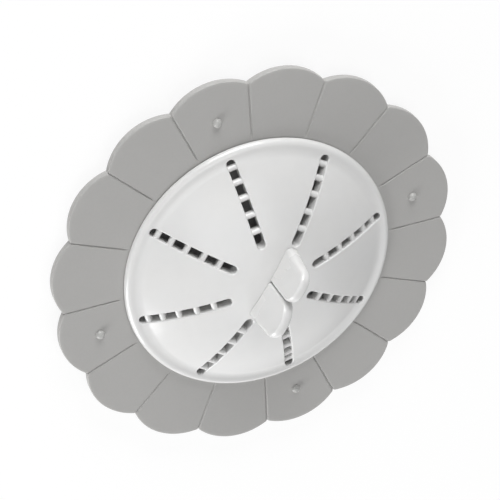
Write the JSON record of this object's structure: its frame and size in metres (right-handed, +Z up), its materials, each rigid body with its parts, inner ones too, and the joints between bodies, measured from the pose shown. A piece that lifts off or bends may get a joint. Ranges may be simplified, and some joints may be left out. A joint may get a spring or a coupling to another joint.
{
  "type": "drain hair catcher",
  "caption": "Round domed drain hair catcher: a white slotted dome with a finger grip lifts out of a soft grey petal flange that stands on suction cups.",
  "frame": {"origin": "on the axis of the dome, at the surface that the suction cups stand on", "axes": "+Z up along the axis of the dome; +X and +Y each through a suction cup; the grip lies along the line between -X+Y and +X-Y"},
  "size_m": [0.14, 0.14, 0.0362],
  "materials": {
    "white_plastic": "satin white moulded plastic",
    "grey_rubber": "matt light grey soft rubber",
    "clear_rubber": "smooth, pale, slightly clear soft vinyl"
  },
  "bodies": {
    "flange_on_cups": {"petal_flange": "grey_rubber", "suction_cup_1": "clear_rubber", "suction_cup_2": "clear_rubber", "suction_cup_3": "clear_rubber", "suction_cup_4": "clear_rubber"},
    "strainer": {"dome_grille": "white_plastic", "grip_washer": "white_plastic", "lift_grip": "white_plastic"}
  },
  "joints": [
    {"name": "strainer_lift", "type": "slide", "parent": "flange_on_cups", "child": "strainer", "axis": [0, 0, 1], "range_m": [0, 0.06]}
  ]
}
